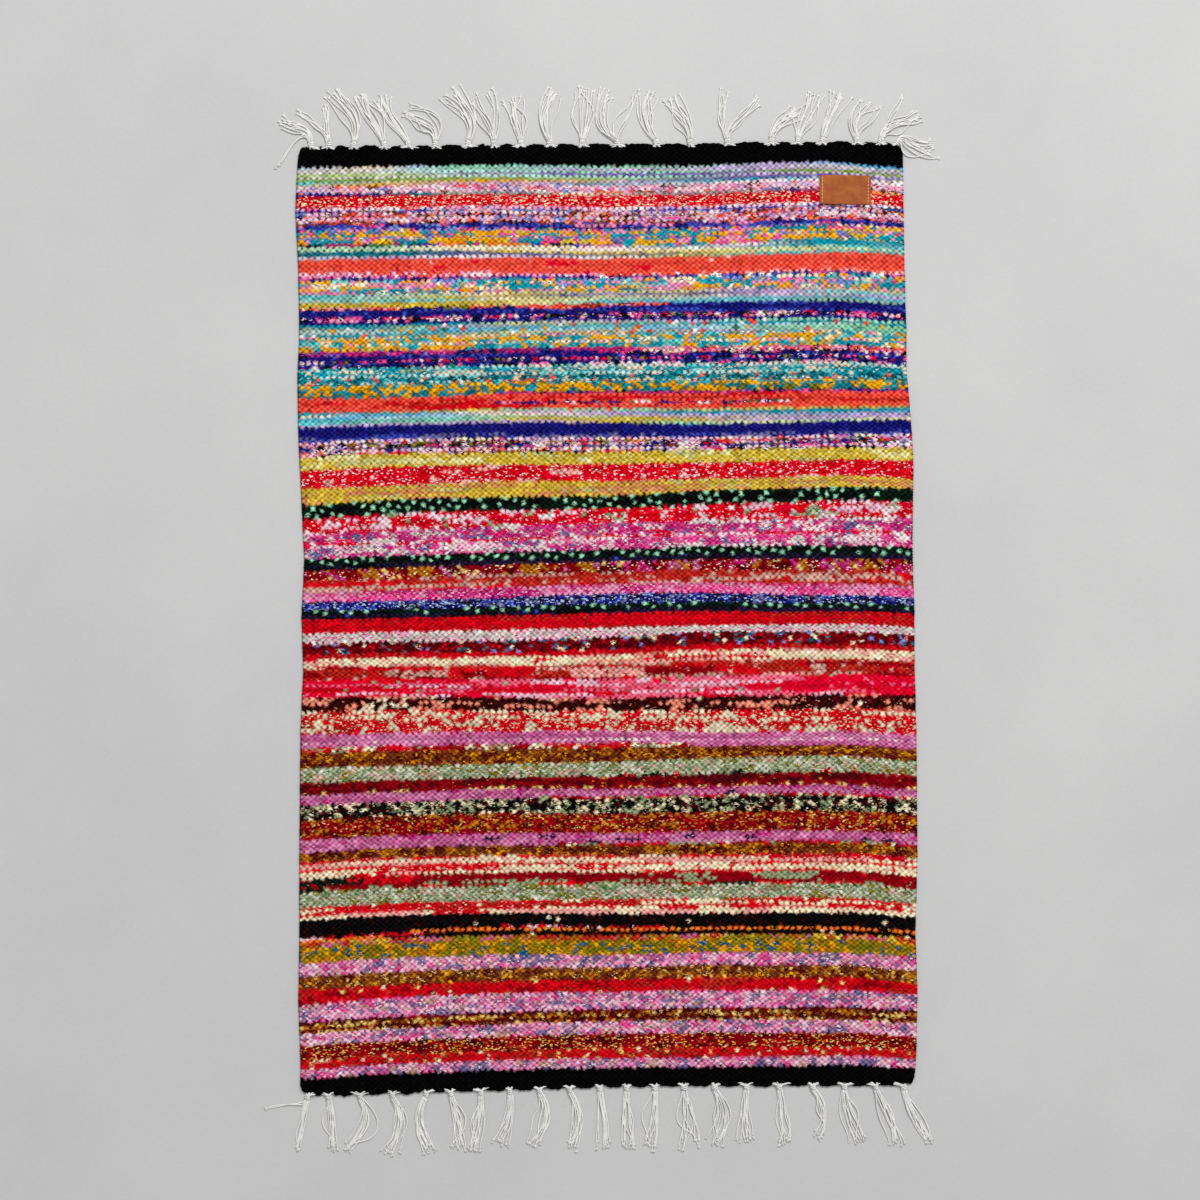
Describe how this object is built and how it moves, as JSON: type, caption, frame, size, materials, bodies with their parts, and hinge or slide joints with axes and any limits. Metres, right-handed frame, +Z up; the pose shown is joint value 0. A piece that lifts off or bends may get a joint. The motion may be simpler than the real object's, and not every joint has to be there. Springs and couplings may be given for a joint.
{
  "type": "doormat",
  "caption": "Flat woven cotton rag rug doormat with hem bands, a knotted fringe at both ends and a small bare leather label.",
  "frame": {"origin": "on the floor, under the middle of the mat and its fringes", "axes": "+X across the mat, +Y along its length towards the end with the label, +Z up out of the woven face"},
  "size_m": [0.655, 1.0466, 0.0064],
  "materials": {
    "woven_cotton": "matte plain weave of many-coloured cotton weft with near-black hems",
    "fringe_cotton": "matte undyed cotton yarn",
    "label_leather": "smooth tan leather with stitched short sides"
  },
  "bodies": {
    "root": {"mat": "woven_cotton", "fringe_near": "fringe_cotton", "fringe_far": "fringe_cotton", "label": "label_leather"}
  },
  "joints": []
}
